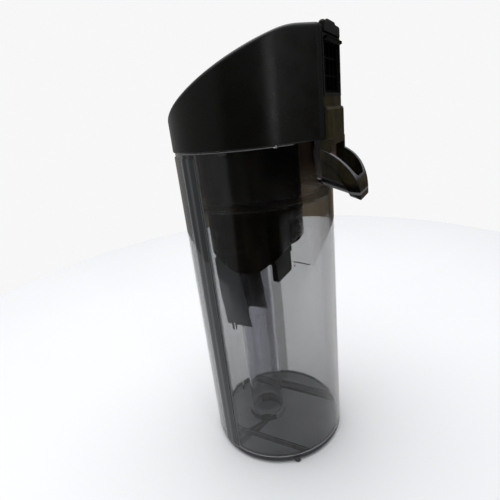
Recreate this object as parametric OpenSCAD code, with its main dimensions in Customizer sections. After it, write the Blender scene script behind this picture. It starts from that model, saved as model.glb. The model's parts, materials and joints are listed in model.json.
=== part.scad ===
// Dirty water tank of an upright wet floor cleaner: a smoky see-through tank with a
// pouring spout, a riser tube, and a lift-off lid that carries the separator, the float
// and the filter. +Z is up, the origin is on the tank's axis at the standing plane,
// the low front of the cover faces -Y and the spout and the air port face +Y.

/* [Tank] */
// Outer radius of the tank wall at the floor
tank_r = 55; // [52:0.5:58]
// Growth of that radius from the floor to the rim
tank_draft = 1; // [0.5:0.1:1.5]
// Height of the tank's rim
tank_h = 245; // [240:1:260]
// Thickness of the tank's wall
tank_wall = 2.2; // [1.8:0.1:2.6]
// Thickness of the tank's floor
floor_t = 2.4; // [2:0.1:3]
// Rounding where wall and floor meet
foot_edge_r = 4; // [3:0.5:5]
// Height of the two side ledges on the floor
ledge_h = 6.5; // [5:0.1:9]
// Distance of each ledge from the middle plane
ledge_x = 33.7; // [30:0.1:38]
// Thickness that the front grip panel adds to the wall
panel_t = 0.8; // [0.4:0.1:1]
// Angle between the middle plane's side axis and the panel's edge
panel_angle = 14; // [5:1:30]
// Distance of the full-level mark below the rim
level_drop = 114; // [110:1:140]

/* [Riser tube] */
// Outer radius of the riser tube
riser_r = 14.6; // [13:0.1:15]
// Thickness of the riser tube's wall
riser_wall = 1.6; // [1.2:0.1:2]
// Distance of the riser tube from the tank's axis, towards the front
riser_y = 11.8; // [10:0.1:13]
// Distance of the riser tube's top below the tank's rim
riser_drop = 31; // [26:1:36]
// Height of the socket that holds the riser tube
socket_h = 9; // [8:0.5:12]
// Thickness of the socket's wall
socket_wall = 2; // [1.8:0.1:3]

/* [Spout] */
// Half width of the spout's channel, outside
spout_w = 18.2; // [16:0.1:18.4]
// How far the spout stands out from the tank's rim
spout_out = 24.5; // [22:0.5:27]
// Distance of the spout's underside below the rim, at the wall
spout_drop = 29.5; // [27:0.5:32]
// Fall of the spout's underside for each millimetre outwards
spout_slope = 0.36; // [0.2:0.02:0.4]
// Radius of the spout's drooping rim in side view
spout_round = 33.3; // [32:0.1:35]
// Width of the band round the spout's rim
spout_band = 6; // [4:0.5:7]
// Thickness that the band adds
spout_band_t = 1.6; // [1:0.1:2]
// Half width of the neck between the spout and the lid
neck_w = 18.6; // [17.5:0.1:19]
// How far the neck stands out from the tank's rim
neck_out = 6.3; // [6:0.1:7]

/* [Cover] */
// How far the cover stands out over the tank's rim
cover_out = 1.2; // [0.9:0.1:2]
// Thickness of the cover
cover_wall = 2; // [1.6:0.1:2.4]
// Rise of the cover's front edge above the rim, before rounding
front_rise = 17.5; // [15:0.5:21]
// Rise of the cover's flat top above the rim
top_rise = 63.7; // [61:0.1:70]
// Length of the flat top, up to the rear face
top_flat = 15; // [13:1:18]
// Rounding of the cover's upper edges
cover_edge_r = 3; // [2:0.5:4]
// How far the cover's flat rear face stands out from the tank's rim
rear_out = 4; // [3:0.1:5]
// Width of the cover's rear face on each side of the port
rear_side = 2.2; // [2:0.1:4]

/* [Air port and filter] */
// Half width of the air port, with its rubber frame
port_w = 18.4; // [17.5:0.1:18.6]
// Height of the air port, with its rubber frame
port_h = 33.4; // [30:0.1:34]
// Distance of the port's upper edge below the cover's top
port_drop = 5.3; // [5:0.1:8]
// Thickness of the air duct's walls
duct_wall = 1.8; // [1.5:0.1:2.2]
// Depth of the filter cartridge
filter_depth = 16; // [12:0.5:18]
// Thickness of the filter cartridge's frame
filter_wall = 1.5; // [1.2:0.1:2]
// Number of pleats in the filter
pleat_count = 14; // [8:1:18]
// Thickness of the pleated sheet
pleat_t = 0.7; // [0.5:0.1:0.9]

/* [Lid base] */
// Depth of the plug ring below the rim
plug_depth = 39; // [37:0.5:42]
// Thickness of the plug ring
plug_wall = 2; // [1.8:0.1:2.6]
// Gap between the plug ring and the tank's wall
plug_gap = 0.9; // [0.6:0.1:1.2]
// Thickness of the deck
deck_t = 2.2; // [2:0.1:3]

/* [Separator] */
// Radius of the two rounds of the hood's oval plan
hood_r = 31; // [29:0.5:32]
// Place along Y of the hood's front round
hood_front_y = -11.4; // [-13:0.1:-11]
// Place along Y of the hood's rear round
hood_rear_y = 2; // [0:0.5:4]
// Thickness of the hood's wall
hood_wall = 1.8; // [1.4:0.1:2.2]
// Depth of the hood's lowest edge below the rim
hood_depth = 89.5; // [85:0.5:95]
// Half width of the splash baffle
baffle_w = 14; // [12:0.5:16]
// Place along Y of the baffle's rear face
baffle_y = 17.5; // [16:0.5:20]
// Thickness of the baffle's plate
baffle_t = 4.5; // [3:0.5:5]
// Depth of the baffle's lower end below the rim
baffle_depth = 103; // [96:0.5:108]

/* [Float] */
// Thickness of the float's solid side walls
float_side = 1.3; // [1.1:0.1:1.6]
// Front of the float at its widest, measured from the tank's axis
float_front = 38.5; // [37:0.1:39]
// How far the float's front leans back at the bottom
float_lean = 4.5; // [2:0.5:6]
// Depth of the float's underside below the rim
float_depth = 144; // [135:1:152]
// Depth of the float's top below the rim
float_top_depth = 40; // [38:1:50]
// Radius of the float's stem
stem_r = 3; // [2.5:0.1:3.5]
// How far the float rises
float_travel = 8.5; // [6:0.5:10]

/* [Hidden] */

$fn = 96;
hull_fn = 32;
edge_fn = 24;
eps = 0.01;
big = 200;
fit = 0.05;
seat_gap = 0.3;

// Tank
foot_ring_w = 4;
foot_lift = 1;
rim_r = tank_r + tank_draft;
mouth_r = rim_r - tank_wall;
floor_top = foot_lift + floor_t;
bore_r = riser_r - riser_wall;
riser_top = tank_h - riser_drop;
inlet_r = bore_r + 0.4;
level_z = tank_h - level_drop;
socket_r = riser_r + fit + socket_wall;
shoulder_z = socket_h / 2;
o_ring_r = 0.5;
seal_t = 1.8;
boss_ring_r = socket_r + 2;
seal_in_r = inlet_r + 0.8;
seal_out_r = boss_ring_r - 1.2;
lug_angle = 39;
lug_r = 3.2;
lug_h = 5;
spout_reach = rim_r + spout_out;
spout_low_z = tank_h - spout_drop;
spout_wall = tank_wall;
spout_edge_r = 9;
spout_nose_r = 12;
round_at = [rim_r + 23.3 - spout_round, tank_h - 37.3];
neck_reach = rim_r + neck_out;
neck_low_z = tank_h - 15;

// Lid
deck_z = tank_h;
cover_r = rim_r + cover_out;
cover_front_z = tank_h + front_rise;
cover_top_z = tank_h + top_rise;
rear_y = rim_r + rear_out;
rear_w = port_w + rear_side;
cover_break_y = rear_y - top_flat;
port_high_z = cover_top_z - port_drop;
port_low_z = port_high_z - port_h;
deck_top = deck_z + deck_t;
plug_r = mouth_r - plug_gap;
flange_r = cover_r - cover_wall - seat_gap;
plug_low_z = tank_h - plug_depth;
gasket_z = plug_low_z + 2;
gasket_h = 4;
gasket_depth = 1;
slope = (cover_top_z - cover_front_z) / (cover_break_y + cover_r);
duct_front_y = -(plug_r - 8.9);
duct_drop = 2.2;
seal_depth = 1.4;
duct_rear_y = rear_y - seal_depth;
bay_front_y = duct_rear_y - filter_depth - 3;
bay_w = port_w - duct_wall;
bay_low = port_low_z + duct_wall;
bay_high = port_high_z - duct_wall;
block_y = neck_reach - 0.3;
block_gap = 6;
block_top_z = port_low_z - block_gap;
boss_r = 3.4;
pilot_r = 1.45;
shank_r = 1.4;
screw_head_r = 2.8;
screw_head_h = 1.6;
screw_tip = 1.2;
cover_bite = 9;
hood_bite = 4.6;
cover_screw_x = plug_r - 14.9;
cover_screw_xy = [for (x = [cover_screw_x, -cover_screw_x], y = [-18, 16]) [x, y]];
catch_w = 5;
catch_h = 3.1;
catch_d = 3.4;

// Separator and float
hood_in = hood_r - hood_wall;
hood_low_z = tank_h - hood_depth;
ear_x = hood_r + screw_head_r + 0.3;
ear_y = -5;
ear_t = 2.4;
ear_r = 3.6;
ear_boss_h = 5;
wing_t = 2.4;
wing_front_y = -4;
tab_r = 5;
baffle_low_z = tank_h - baffle_depth;
tube_clear = 1.5;
recess_w = riser_r + tube_clear;
float_w = recess_w + float_side;
float_low_z = tank_h - float_depth;
float_top_z = tank_h - float_top_depth;
float_wall = 1.4;
float_step = 0.3;
float_lean_z = float_low_z + 45;
float_corner_r = 4;
float_rear_y = -16;
float_rear_low_y = -9;
hood_front_rise = 12;
float_step_z = hood_low_z + hood_front_rise - float_travel - 0.7;
cap_t = 1.6;
nub_h = 10.5;
nub_r = 2.4;
seat_t = 1.5;
seat_z = deck_z - 5.2;
pad_r = 7.8;
pad_t = 3;
pad_z = seat_z - seat_gap - float_travel - pad_t;
guide_t = 2.4;
guide_z = pad_z - guide_t;
seat_r = pad_r + 0.4;
valve_r = 5.5;
valve_boss_r = seat_r + 1.2;
stem_y = hood_front_y - hood_in + valve_boss_r + 0.2;
stem_top = pad_z + 1.5;

// Outer radius of the tank wall at height z
function wall_r(z) = tank_r + tank_draft * z / tank_h;

// Height of the cover's sloping top at y
function slope_z(y) = min(cover_top_z, cover_front_z + slope * (y + cover_r));

// Points of an arc about c from angle a0 to a1
function arc(c, r, a0, a1, n = 12) =
    [for (i = [0:n]) let (a = a0 + (a1 - a0) * i / n) c + r * [cos(a), sin(a)]];

// A side profile in (Y, Z), drawn through the full width w to both sides
module across(w) {
    rotate([90, 0, 90])
        linear_extrude(2 * w, center = true)
            children();
}

// Flat outline of two rounds of radius r joined by a straight box, along Y
module oval(r, y0, y1) {
    translate([0, y0])
        circle(r);
    translate([0, y1])
        circle(r);
    translate([-r, y0])
        square([2 * r, y1 - y0]);
}

// Wall of the tank: one profile turned about the axis
module tank_shell() {
    inner_edge_r = foot_edge_r - 1;
    rotate_extrude()
        difference() {
            polygon(concat(
                [[0, foot_lift]],
                [[tank_r - foot_edge_r - foot_ring_w, foot_lift]],
                [[tank_r - foot_edge_r - foot_ring_w, 0]],
                arc([tank_r - foot_edge_r, foot_edge_r], foot_edge_r, -90, 0),
                [[rim_r, tank_h], [0, tank_h]]
            ));
            polygon(concat(
                [[0, floor_top]],
                arc([tank_r - tank_wall - inner_edge_r, floor_top + inner_edge_r],
                    inner_edge_r, -90, 0),
                [[mouth_r, tank_h + eps], [0, tank_h + eps]]
            ));
        }
}

// Thicker grip panel on the front half of the wall
module front_panel() {
    low = foot_edge_r + 3;
    high = tank_h - 3;
    rotate([0, 0, 180 + panel_angle])
        rotate_extrude(angle = 180 - 2 * panel_angle)
            polygon([
                [wall_r(low) - 1, low],
                [wall_r(low) + panel_t, low],
                [wall_r(high) + panel_t, high],
                [wall_r(high) - 1, high]
            ]);
}

// Raised ledges on both sides of the floor, hollow underneath
module floor_ledges() {
    for (side = [-1, 1])
        intersection() {
            translate([0, 0, foot_lift])
                cylinder(r = tank_r - tank_wall + eps, h = ledge_h - foot_lift);
            translate([side > 0 ? ledge_x : -ledge_x - big, -big / 2, 0])
                cube([big, big, ledge_h]);
        }
}

module ledge_pockets() {
    for (side = [-1, 1])
        intersection() {
            translate([0, 0, -eps])
                cylinder(r = tank_r - foot_edge_r - foot_ring_w, h = ledge_h - floor_t);
            translate([side > 0 ? ledge_x + floor_t : -ledge_x - floor_t - big, -big / 2, -eps])
                cube([big, big, ledge_h - floor_t]);
        }
}

// Trough of half width w with rounded lower corners, falling outwards along Y
module spout_trough(w, edge_r, low) {
    back = 16;
    tall = 50;
    steps = 8;
    translate([0, rim_r - back, low + back * spout_slope])
        rotate([-90 - atan(spout_slope), 0, 0])
            linear_extrude(back + spout_out + 10)
                polygon(concat(
                    [[w, -tall]],
                    arc([w - edge_r, -edge_r], edge_r, 0, 90, steps),
                    arc([-w + edge_r, -edge_r], edge_r, 90, 180, steps),
                    [[-w, -tall]]
                ));
}

// Side profile of the spout: the part of the plane behind a round rim
module spout_side(rim) {
    polygon(concat(
        [[0, round_at[1] - rim], [round_at[0], round_at[1] - rim]],
        arc(round_at, rim, -10, 90, 40),
        [[0, round_at[1] + rim]]
    ));
}

// Plan of the spout with rounded outer corners
module spout_plan(w, reach) {
    r = spout_nose_r - spout_w + w;
    steps = 10;
    polygon(concat(
        [[w, rim_r - 16]],
        arc([w - r, reach - r], r, 0, 90, steps),
        arc([-w + r, reach - r], r, 90, 180, steps),
        [[-w, rim_r - 16]]
    ));
}

// Form of the spout: a trough cut by its round rim and by its plan
module spout_form(w, reach, edge_r, low, rim) {
    intersection() {
        spout_trough(w, edge_r, low);
        across(w + 1)
            spout_side(rim);
        translate([0, 0, spout_low_z - 20])
            linear_extrude(tank_h - spout_low_z + 20)
                spout_plan(w, reach);
    }
}

module spout_outside() {
    reach = spout_reach - spout_band_t;
    spout_form(spout_w, reach, spout_edge_r, spout_low_z, spout_round);
    difference() {
        spout_form(spout_w + spout_band_t, spout_reach, spout_edge_r + spout_band_t,
            spout_low_z - spout_band_t, spout_round);
        across(big / 2)
            spout_side(spout_round - spout_band);
    }
}

module spout_inside() {
    spout_form(spout_w - spout_wall, spout_reach - spout_band_t - spout_wall,
        spout_edge_r - spout_wall, spout_low_z + spout_wall, spout_round + 3.8);
}

// Neck: the tank's mouth drawn out to the flat rear of the lid
module neck(w, reach, low) {
    across(w)
        polygon([
            [rim_r - 16, low - 8],
            [rim_r - 3, low - 2],
            [reach, low + 5],
            [reach, tank_h],
            [rim_r - 16, tank_h]
        ]);
}

module inlet_socket() {
    translate([0, -riser_y, 0]) {
        cylinder(r = socket_r, h = socket_h);
        cylinder(r = boss_ring_r, h = floor_top);
    }
}

module inlet_cuts() {
    translate([0, -riser_y, -eps]) {
        cylinder(r = inlet_r, h = shoulder_z + eps);
        difference() {
            cylinder(r = seal_out_r, h = seal_t + 0.2 + eps);
            translate([0, 0, -1])
                cylinder(r = seal_in_r, h = seal_t + 2.2);
        }
    }
    translate([0, -riser_y, shoulder_z])
        cylinder(r = riser_r + fit, h = socket_h);
    translate([0, -riser_y, shoulder_z + 2])
        rotate_extrude()
            translate([riser_r, -o_ring_r - fit])
                square([2 * o_ring_r + 2 * fit, 2 * o_ring_r + 2 * fit]);
}

module lugs() {
    for (side = [-1, 1])
        rotate([0, 0, 90 + side * (90 - lug_angle)])
            translate([tank_r - 1.2, 0, 0.6])
                cylinder(r1 = lug_r - 0.8, r2 = lug_r, h = lug_h);
}

// Full-level mark: a thin raised line with a dot below it
module level_mark() {
    mark_t = 0.4;
    rotate([0, 0, 158])
        rotate_extrude(angle = 20)
            translate([wall_r(level_z) - 0.2, level_z])
                square([mark_t + 0.2, 0.8]);
    rotate([0, 0, 177])
        translate([wall_r(level_z) - 0.3, 0, level_z - 3.5])
            rotate([0, 90, 0])
                cylinder(r = 0.8, h = mark_t + 0.3);
}

module tank_body() {
    color([0.35, 0.34, 0.33, 0.4])
        difference() {
            union() {
                difference() {
                    union() {
                        tank_shell();
                        front_panel();
                        floor_ledges();
                        inlet_socket();
                    }
                    ledge_pockets();
                }
                difference() {
                    union() {
                        spout_outside();
                        neck(neck_w, neck_reach, neck_low_z);
                    }
                    spout_inside();
                    translate([0, 0, 1])
                        neck(neck_w - tank_wall, neck_reach - tank_wall, neck_low_z + 1);
                    translate([0, 0, spout_low_z - 20])
                        cylinder(r = mouth_r - 0.02, h = tank_h);
                }
                lugs();
                level_mark();
            }
            spout_window();
            inlet_cuts();
        }
}

// Way from the tank into the spout, cut through the wall
module spout_window() {
    intersection() {
        union() {
            spout_inside();
            translate([0, 0, 1])
                neck(neck_w - tank_wall, neck_reach - tank_wall, neck_low_z + 1);
        }
        translate([-big / 2, 20, spout_low_z - 10])
            cube([big, big, tank_h]);
    }
}

module riser_tube() {
    color([0.35, 0.35, 0.36, 0.4])
        translate([0, -riser_y, shoulder_z])
            rotate_extrude()
                polygon([
                    [bore_r, 0],
                    [riser_r, 0],
                    [riser_r, riser_top - shoulder_z - 1],
                    [riser_r - 0.6, riser_top - shoulder_z],
                    [bore_r, riser_top - shoulder_z]
                ]);
}

module riser_o_ring() {
    color([0.05, 0.05, 0.05])
        translate([0, -riser_y, shoulder_z + 2])
            rotate_extrude()
                translate([riser_r + fit / 2 + o_ring_r, 0])
                    circle(o_ring_r, $fn = edge_fn);
}

module inlet_seal() {
    color([0.08, 0.08, 0.08])
        translate([0, -riser_y, 0.2])
            rotate_extrude()
                polygon([
                    [seal_in_r + fit, 0.4],
                    [(seal_in_r + seal_out_r) / 2, 0],
                    [seal_out_r - fit, 0.4],
                    [seal_out_r - fit, seal_t],
                    [seal_in_r + fit, seal_t]
                ]);
}

// Side profile of the air duct, outside
module duct_outside() {
    polygon([
        [duct_front_y, deck_z + deck_t / 2],
        [duct_front_y, slope_z(duct_front_y) - cover_wall - duct_drop],
        [bay_front_y - 1, port_high_z - 0.8],
        [bay_front_y + 1, port_high_z],
        [duct_rear_y, port_high_z],
        [duct_rear_y, deck_z + deck_t / 2]
    ]);
}

// Side profile of the duct's inside: the air chamber and, above its shelf, the filter bay
module duct_inside() {
    t = duct_wall;
    polygon([
        [duct_front_y + t, deck_top],
        [duct_front_y + t, slope_z(duct_front_y) - cover_wall - duct_drop - t],
        [bay_front_y - 1, port_high_z - 0.8 - t],
        [bay_front_y + 1, port_high_z - t],
        [duct_rear_y + 1, port_high_z - t],
        [duct_rear_y + 1, port_low_z + t],
        [bay_front_y, port_low_z + t],
        [bay_front_y, port_low_z],
        [duct_rear_y - t, port_low_z],
        [duct_rear_y - t, deck_top]
    ]);
}

// The see-through block below the port, stepped out from the cover's rear face
module rear_block() {
    across(port_w)
        polygon([
            [duct_rear_y - duct_wall, deck_z],
            [block_y, deck_z],
            [block_y, block_top_z - 2],
            [block_y - 0.6, block_top_z - 0.6],
            [rear_y, block_top_z],
            [rear_y, port_low_z],
            [duct_rear_y - duct_wall, port_low_z]
        ]);
}

module lid_base() {
    color([0.30, 0.27, 0.22, 0.5])
        difference() {
            union() {
                rotate_extrude()
                    difference() {
                        polygon([
                            [plug_r - plug_wall, plug_low_z],
                            [plug_r - 0.6, plug_low_z],
                            [plug_r, plug_low_z + 1],
                            [plug_r, deck_z],
                            [flange_r, deck_z],
                            [flange_r, deck_top],
                            [0, deck_top],
                            [0, deck_z],
                            [plug_r - plug_wall, deck_z]
                        ]);
                        translate([plug_r - gasket_depth, gasket_z])
                            square([gasket_depth + 1, gasket_h]);
                    }
                across(port_w)
                    duct_outside();
                rear_block();
                for (x = [-ear_x, ear_x])
                    translate([x, ear_y, deck_z])
                        cylinder(r = boss_r, h = deck_t + ear_boss_h);
                translate([0, stem_y, seat_z])
                    cylinder(r = valve_boss_r, h = deck_z - seat_z + eps);
            }
            across(bay_w)
                duct_inside();
            translate([0, stem_y, seat_z - eps])
                cylinder(r = valve_r, h = deck_top - seat_z + 1);
            translate([0, stem_y, seat_z - eps])
                cylinder(r = seat_r + fit, h = seat_t);
            for (p = cover_screw_xy)
                translate([p[0], p[1], deck_z - 1])
                    cylinder(r = shank_r + 0.3, h = deck_t + 2);
            for (x = [-ear_x, ear_x])
                translate([x, ear_y, deck_z - 1])
                    cylinder(r = pilot_r, h = hood_bite + 1.6);
        }
}

module lid_gasket() {
    low = gasket_z + fit;
    high = gasket_z + gasket_h - fit;
    reach = mouth_r - (tank_h - gasket_z) * tank_draft / tank_h - seat_gap;
    color([0.06, 0.06, 0.06])
        rotate_extrude()
            polygon([
                [plug_r - gasket_depth + fit, low],
                [plug_r, low],
                [reach, (low + high) / 2 - 0.6],
                [reach, (low + high) / 2 + 0.6],
                [plug_r, high],
                [plug_r - gasket_depth + fit, high]
            ]);
}

// Side profile of the cover, lowered by t
module cover_side(t) {
    front = -big / 2;
    polygon([
        [front, 0],
        [front, slope_z(front) - t],
        [cover_break_y, cover_top_z - t],
        [big / 2, cover_top_z - t],
        [big / 2, 0]
    ]);
}

// Plan outline of the cover, set in by t: a round whose sides run straight to the flat rear
module cover_plan(t) {
    start = atan2(rear_y, rear_w) - acos(cover_r / norm([rear_w, rear_y]));
    corner_x = (cover_r - t - (rear_y - t) * sin(start)) / cos(start);
    polygon(concat(
        arc([0, 0], cover_r - t, 180 - start, 360 + start, 72),
        [[corner_x, rear_y - t], [-corner_x, rear_y - t]]
    ));
}

// One slice of the cover's rounded block: the plan and the side profile both set in
module cover_slice(plan_in, side_in) {
    intersection() {
        translate([0, 0, tank_h + 0.4])
            linear_extrude(big)
                cover_plan(plan_in);
        across(big / 2)
            cover_side(side_in);
    }
}

module cover_block() {
    steps = 4;
    hull()
        for (i = [0:steps])
            let (a = 90 * i / steps)
            cover_slice(cover_edge_r * (1 - cos(a)), cover_edge_r * (1 - sin(a)));
}

module cover_posts() {
    intersection() {
        for (p = cover_screw_xy)
            translate([p[0], p[1], deck_top])
                cylinder(r = boss_r, h = cover_top_z - deck_top);
        across(big / 2)
            cover_side(cover_wall / 2);
    }
}

// Catch on the top rear edge, which the machine's hook drops behind
module cover_catch() {
    across(catch_w)
        polygon(concat(
            [[rear_y + 1.2, port_high_z + 0.2]],
            arc([rear_y + 1.2 - catch_d / 2, cover_top_z + catch_h - catch_d / 2], catch_d / 2, 0, 180),
            [[rear_y + 1.2 - catch_d, cover_top_z - 1], [rear_y - 1, port_high_z + 0.2]]
        ));
}

module outer_cover() {
    color([0.07, 0.07, 0.065])
        difference() {
            union() {
                difference() {
                    cover_block();
                    intersection() {
                        translate([0, 0, tank_h - 1])
                            linear_extrude(big)
                                cover_plan(cover_wall);
                        across(big / 2)
                            cover_side(cover_wall + 0.4);
                    }
                }
                cover_posts();
                cover_catch();
            }
            translate([-port_w - seat_gap, rear_y - 8, tank_h - 1])
                cube([2 * (port_w + seat_gap), 20, port_high_z + seat_gap - tank_h + 1]);
            for (p = cover_screw_xy)
                translate([p[0], p[1], deck_top - 1])
                    cylinder(r = pilot_r, h = cover_bite + deck_t + 1.8);
        }
}

// A self-tapping screw seen from below: its head is at height z, its tip points up
module screw(x, y, z, length) {
    translate([x, y, z - screw_head_h])
        difference() {
            union() {
                cylinder(r1 = screw_head_r - 0.5, r2 = screw_head_r, h = screw_head_h);
                cylinder(r = shank_r, h = screw_head_h + length - screw_tip);
                translate([0, 0, screw_head_h + length - screw_tip - eps])
                    cylinder(r1 = shank_r, r2 = 0.3, h = screw_tip);
            }
            for (turn = [0, 90])
                rotate([0, 0, turn])
                    translate([-1.4, -0.3, -eps])
                        cube([2.8, 0.6, 0.9]);
        }
}

module cover_screws() {
    color([0.55, 0.55, 0.56])
        for (p = cover_screw_xy)
            screw(p[0], p[1], deck_z, deck_t + cover_bite);
}

module hood_screws() {
    color([0.55, 0.55, 0.56])
        for (x = [-ear_x, ear_x])
            screw(x, ear_y, deck_z - ear_t, ear_t + hood_bite);
}

// Lower edge of the hood in side view: lowest in the middle, higher front and rear
module hood_edge_side() {
    front = hood_front_y - hood_r - 1;
    rear = hood_rear_y + hood_r + 1;
    polygon([
        [front, 0],
        [front, hood_low_z + hood_front_rise + 1.5],
        [hood_front_y - 15, hood_low_z + hood_front_rise - 1.5],
        [hood_front_y + 3.4, hood_low_z],
        [hood_rear_y + 6, hood_low_z],
        [hood_rear_y + 20, hood_low_z + 9.5],
        [rear, hood_low_z + 24],
        [rear, 0]
    ]);
}

module separator_hood() {
    color([0.10, 0.095, 0.09, 0.85])
        difference() {
            union() {
                translate([0, 0, hood_low_z - 1])
                    linear_extrude(hood_depth + 1)
                        oval(hood_r, hood_front_y, hood_rear_y);
                for (side = [-1, 1])
                    translate([side * ear_x, ear_y, deck_z - ear_t])
                        cylinder(r = ear_r, h = ear_t);
            }
            translate([0, 0, hood_low_z - 2])
                linear_extrude(big)
                    oval(hood_in, hood_front_y, hood_rear_y);
            across(big / 2)
                hood_edge_side();
            for (x = [-ear_x, ear_x])
                translate([x, ear_y, deck_z - ear_t - 1])
                    cylinder(r = shank_r + 0.2, h = ear_t + 2);
        }
}

// Black wall behind the riser's mouth: a plate with two wings and a rounded lower tab
module splash_baffle() {
    wing_low = hood_low_z + 2;
    color([0.03, 0.03, 0.03])
        union() {
            rotate([90, 0, 0])
                translate([0, 0, -baffle_y])
                    linear_extrude(baffle_t)
                        union() {
                            translate([-baffle_w, baffle_low_z + tab_r])
                                square([2 * baffle_w, deck_z - baffle_low_z - tab_r]);
                            translate([-baffle_w + tab_r, baffle_low_z])
                                square([2 * (baffle_w - tab_r), tab_r + 1]);
                            for (side = [-1, 1])
                                translate([side * (baffle_w - tab_r), baffle_low_z + tab_r])
                                    circle(tab_r);
                        }
            for (side = [-1, 1])
                translate([side > 0 ? baffle_w : -baffle_w - wing_t, wing_front_y, wing_low])
                    cube([wing_t, baffle_y - wing_front_y, deck_z - wing_low]);
        }
}

// Bridge across the hood, whose bore guides the float's stem
module float_guide() {
    half = hood_in - seat_gap;
    arm = 4;
    color([0.04, 0.04, 0.04])
        difference() {
            union() {
                intersection() {
                    translate([-big / 2, stem_y - arm, guide_z])
                        cube([big, 2 * arm, guide_t]);
                    translate([0, 0, guide_z - 1])
                        linear_extrude(guide_t + 2)
                            oval(half, hood_front_y, hood_rear_y);
                }
                translate([0, stem_y, guide_z - 4])
                    cylinder(r = stem_r + 2, h = guide_t + 4);
                for (side = [-1, 1])
                    translate([side * 15, stem_y, guide_z])
                        cylinder(r = 1.8, h = deck_z - guide_z);
            }
            translate([0, stem_y, guide_z - 5])
                cylinder(r = stem_r + fit, h = guide_t + 10);
        }
}

// Flat outline of the float: a box with rounded front corners
module float_plan(w, front, rear) {
    r = float_corner_r;
    steps = 8;
    polygon(concat(
        [[-w, rear]],
        arc([-w + r, -front + r], r, 180, 270, steps),
        arc([w - r, -front + r], r, 270, 360, steps),
        [[w, rear]]
    ));
}

// Body of the float, set in by t: a leaning wide part, and above its step a part
// whose corners follow the hood
module float_body(t) {
    slice = 0.1;
    w = float_w - t;
    upper = t + float_step;
    hull() {
        translate([0, 0, float_low_z])
            linear_extrude(slice)
                float_plan(w, float_front - float_lean - t, float_rear_low_y);
        translate([0, 0, float_lean_z])
            linear_extrude(slice)
                float_plan(w, float_front - t, float_rear_y);
        translate([0, 0, float_step_z - t - slice])
            linear_extrude(slice)
                float_plan(w, float_front - t, float_rear_y);
    }
    translate([0, 0, float_step_z - t - 1])
        linear_extrude(float_top_z - float_step_z + 1)
            intersection() {
                float_plan(float_w - upper, float_front - upper, float_rear_y - float_step);
                translate([0, hood_front_y])
                    circle(hood_in - 0.6 - t);
            }
}

// Room for the riser tube behind the float, larger by grow
module tube_recess(grow) {
    w = recess_w + grow;
    translate([-w, -riser_y - w, 0])
        cube([2 * w, big, tank_h]);
}

module float_shell() {
    color([0.36, 0.39, 0.40, 0.8])
        difference() {
            union() {
                difference() {
                    float_body(0);
                    difference() {
                        float_body(float_wall);
                        tube_recess(float_wall);
                    }
                    tube_recess(0);
                }
                translate([0, stem_y, float_top_z - float_wall / 2])
                    cylinder(r = stem_r, h = stem_top - float_top_z + float_wall / 2);
            }
            translate([-big / 2, -big / 2, 0])
                cube([big, big, float_low_z + cap_t]);
        }
}

// Cap that closes the hollow float from below, with its small nubs
module float_cap() {
    nub_x = float_w / 2;
    nub_y = -riser_y - recess_w - nub_r - 0.3;
    color([0.36, 0.39, 0.40, 0.8])
        union() {
            difference() {
                translate([0, 0, float_low_z])
                    linear_extrude(cap_t)
                        float_plan(float_w, float_front - float_lean, float_rear_low_y);
                tube_recess(0);
            }
            for (x = [-nub_x, nub_x])
                translate([x, nub_y, float_low_z - nub_h])
                    cylinder(r1 = nub_r - 0.6, r2 = nub_r, h = nub_h + eps);
        }
}

module float_pad() {
    color([0.07, 0.07, 0.07])
        difference() {
            translate([0, stem_y, pad_z])
                cylinder(r = pad_r, h = pad_t);
            translate([0, stem_y, pad_z - 1])
                cylinder(r = stem_r + fit, h = stem_top - pad_z + 1 + fit);
        }
}

module valve_seat() {
    color([0.10, 0.10, 0.10])
        translate([0, stem_y, seat_z])
            difference() {
                cylinder(r = seat_r, h = seat_t - 2 * eps);
                translate([0, 0, -1])
                    cylinder(r = valve_r, h = seat_t + 2);
            }
}

// Grid in front of the filter that keeps lint out
module filter_screen() {
    w = bay_w - fit;
    low = bay_low + fit;
    high = bay_high - fit - 0.6;
    screen_t = 1.4;
    rim = 1.6;
    bars = 9;
    pitch = (2 * w - rim) / bars;
    color([0.12, 0.12, 0.12])
        translate([0, bay_front_y + 0.3, 0])
            difference() {
                translate([-w, 0, low])
                    cube([2 * w, screen_t, high - low]);
                for (i = [0:bars - 1], j = [0:1])
                    translate([
                        -w + rim + i * pitch,
                        -1,
                        low + rim + j * ((high - low - rim) / 2)
                    ])
                        cube([pitch - rim, screen_t + 2, (high - low - 3 * rim) / 2]);
            }
}

// Rubber frame round the air port
module port_seal() {
    color([0.03, 0.03, 0.03])
        difference() {
            translate([-port_w, duct_rear_y, port_low_z + fit])
                cube([2 * port_w, rear_y + 0.5 - duct_rear_y, port_high_z - port_low_z - fit]);
            translate([-bay_w, duct_rear_y - 1, bay_low])
                cube([2 * bay_w, 6, bay_high - bay_low]);
        }
}

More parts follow.
